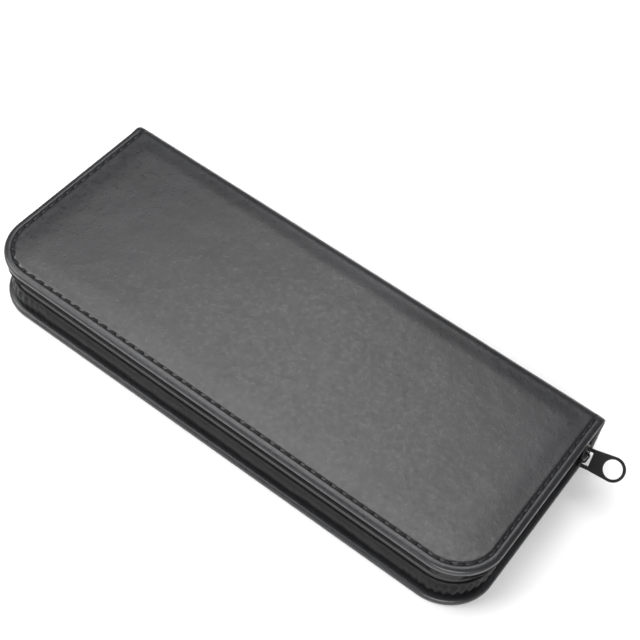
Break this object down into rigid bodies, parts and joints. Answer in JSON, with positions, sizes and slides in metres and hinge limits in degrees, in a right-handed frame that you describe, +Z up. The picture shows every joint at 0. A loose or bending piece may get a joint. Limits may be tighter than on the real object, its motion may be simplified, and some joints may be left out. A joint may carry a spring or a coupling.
{
  "type": "fountain pen case",
  "caption": "Slim zip-around pen case in black leather cloth that opens flat like a book, with pen sleeves and elastic bands inside.",
  "frame": {"origin": "centre of the back cover's outer face, on which the shut case lies", "axes": "+X along the spine towards the closed end of the zip, +Y from the zip side to the spine, +Z up through the thickness"},
  "size_m": [0.2148, 0.082, 0.023],
  "materials": {
    "cover_leather": "charcoal satin leather cloth",
    "wall_leather": "black glossy crinkled leather cloth",
    "sleeve_leather": "black smooth leather cloth",
    "foam": "white sheet foam",
    "board": "grey fibre board",
    "lining": "purple-grey matte lining cloth",
    "thread": "black polyester thread",
    "zip_tape": "black woven tape",
    "zip_coil": "black nylon coil",
    "elastic": "black ribbed elastic",
    "black_metal": "black lacquered zinc",
    "rivet_metal": "dull grey metal"
  },
  "bodies": {
    "bottom_half": {"back_cover_skin": "cover_leather", "back_cover_foam": "foam", "back_cover_board": "board", "back_cover_lining": "lining", "back_cover_stitching": "thread", "back_gusset": "wall_leather", "lower_zip_tape": "zip_tape", "lower_zip_coil": "zip_coil", "lower_top_stop": "black_metal", "zip_bottom_stop": "black_metal", "near_pen_sleeve": "sleeve_leather", "spine_pen_sleeve": "sleeve_leather", "near_elastic_band": "elastic", "middle_elastic_band": "elastic", "holder_stitching": "thread"},
    "spine": {"spine_skin": "cover_leather", "spine_stiffener": "board", "spine_lining": "lining", "left_end_web": "wall_leather", "right_end_web": "wall_leather", "zip_tail": "zip_tape", "tail_tab": "sleeve_leather", "tail_rivet": "rivet_metal"},
    "top_half": {"front_cover_skin": "cover_leather", "front_cover_foam": "foam", "front_cover_board": "board", "front_cover_lining": "lining", "front_cover_stitching": "thread", "front_gusset": "wall_leather", "gusset_piping": "wall_leather", "upper_zip_tape": "zip_tape", "upper_zip_coil": "zip_coil", "upper_top_stop": "black_metal", "lid_elastic_band": "elastic", "lid_band_stitching": "thread"},
    "slider": {"slider_body": "black_metal", "slider_bail": "black_metal"},
    "puller": {"puller_tab": "black_metal"}
  },
  "joints": [
    {"name": "spine_fold", "type": "hinge", "parent": "bottom_half", "child": "spine", "pos_m": [0, 0.0395, 0.0015], "axis": [-1, 0, 0], "range_deg": [0, 90]},
    {"name": "cover_fold", "type": "hinge", "parent": "spine", "child": "top_half", "pos_m": [0, 0.0395, 0.0215], "axis": [-1, 0, 0], "range_deg": [0, 90]},
    {"name": "zip_slide", "type": "slide", "parent": "bottom_half", "child": "slider", "axis": [0, -1, 0], "range_m": [0, 0.047]},
    {"name": "pull_swing", "type": "hinge", "parent": "slider", "child": "puller", "pos_m": [0.1, 0.028, 0.014], "axis": [-0.1593, 0.7493, 0.6428], "range_deg": [-45, 55]}
  ],
  "couplings": [
    {"joint": "cover_fold", "follows": "spine_fold", "ratio": 1}
  ]
}
